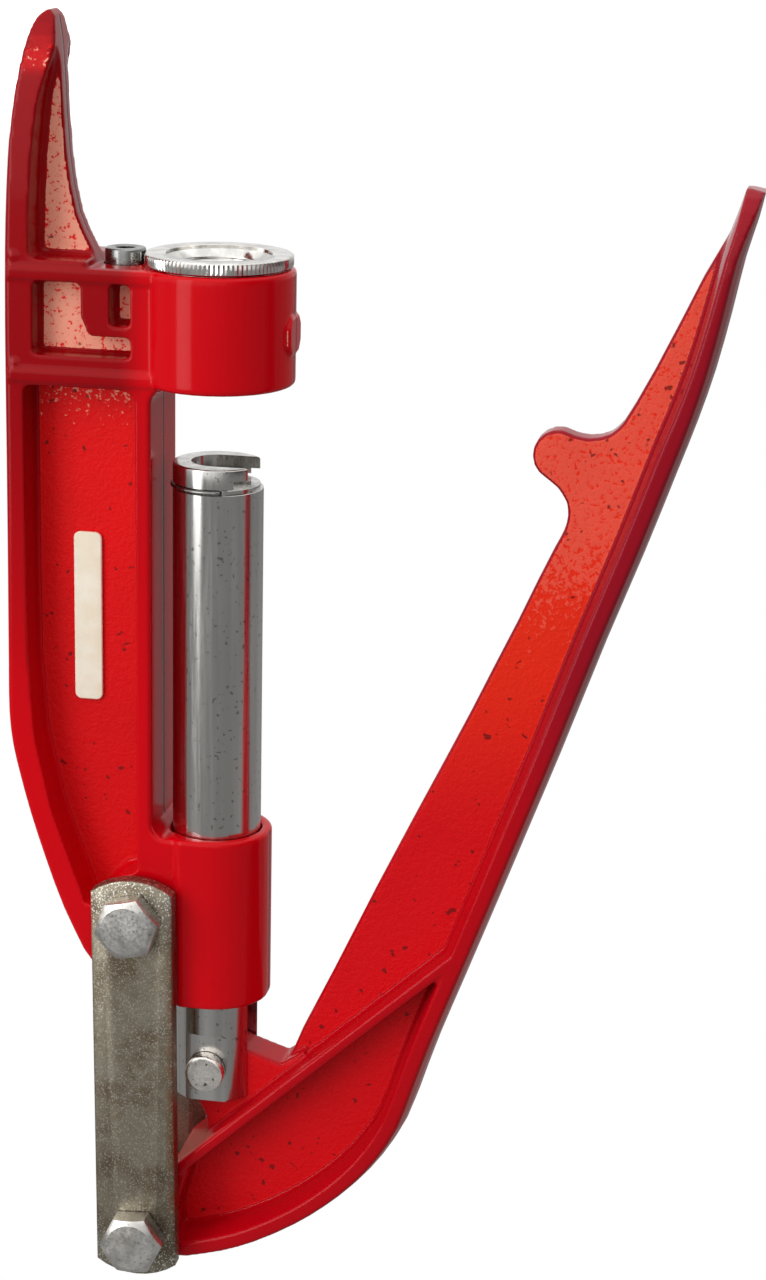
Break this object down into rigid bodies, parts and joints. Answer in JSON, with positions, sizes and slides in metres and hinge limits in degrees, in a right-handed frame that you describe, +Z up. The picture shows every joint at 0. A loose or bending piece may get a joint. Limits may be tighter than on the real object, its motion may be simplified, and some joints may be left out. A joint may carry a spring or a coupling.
{
  "type": "hand press",
  "caption": "Hand-held lever press: cast C frame with a threaded quick-lock die seat, a cast lever, side links and a sliding ram with a shell-holder slot.",
  "frame": {"origin": "grip point on the outer face of the frame's spine, in the middle plane", "axes": "+Z up along the ram's stroke towards the die seat, +X from the grip to the ram and the lever, +Y away from the bolt heads' side"},
  "size_m": [0.1784, 0.0544, 0.3188],
  "materials": {
    "red_paint": "gloss powder coat over a sand casting",
    "badge_cream": "satin",
    "bright_steel": "ground and polished",
    "dark_steel": "oiled",
    "zinc_steel": "dull zinc plate",
    "link_steel": "mottled zinc plate"
  },
  "bodies": {
    "frame": {"frame_casting": "red_paint", "web_badge": "badge_cream", "lock_pin_spring": "dark_steel"},
    "ram": {"ram": "bright_steel", "shell_holder_clip": "dark_steel", "ram_pin": "bright_steel", "ram_pin_clip": "dark_steel"},
    "lever": {"lever_casting": "red_paint", "tongue_bush": "dark_steel", "lever_sleeve": "dark_steel"},
    "links": {"near_link": "link_steel", "far_link": "link_steel", "upper_bolt": "zinc_steel", "upper_nut": "zinc_steel", "upper_washer_near": "zinc_steel", "upper_washer_far": "zinc_steel", "lower_bolt": "zinc_steel", "lower_bolt_end": "zinc_steel", "lower_nut": "zinc_steel", "lower_washer_near": "zinc_steel", "lower_washer_far": "zinc_steel"},
    "bushing": {"breech_bushing": "bright_steel"},
    "lock_pin": {"lock_pin": "dark_steel"}
  },
  "joints": [
    {"name": "ram_slide", "type": "slide", "parent": "frame", "child": "ram", "axis": [0, 0, 1], "range_m": [-0.06515, 0.00441]},
    {"name": "lever_swing", "type": "hinge", "parent": "ram", "child": "lever", "pos_m": [0.0502, 0, -0.1223], "axis": [0, -1, 0], "range_deg": [-100.02, 18.9]},
    {"name": "links_turn", "type": "hinge", "parent": "frame", "child": "links", "pos_m": [0.033, 0, -0.08], "axis": [0, -1, 0], "range_deg": [-16.48, 10.17]},
    {"name": "bushing_turn", "type": "hinge", "parent": "frame", "child": "bushing", "pos_m": [0.0502, 0, 0.082], "axis": [0, 0, 1], "range_deg": [0, 60]},
    {"name": "lock_pin_press", "type": "slide", "parent": "frame", "child": "lock_pin", "axis": [0, 0, -1], "range_m": [0, 0.003], "stiffness_N_per_m": 400, "springref_m": -0.002, "deforming": ["lock_pin_spring"]}
  ],
  "couplings": [
    {"joint": "lever_swing", "follows": "ram_slide", "rad_per_m": 26.79},
    {"joint": "links_turn", "follows": "ram_slide", "rad_per_m": 4.4134}
  ]
}
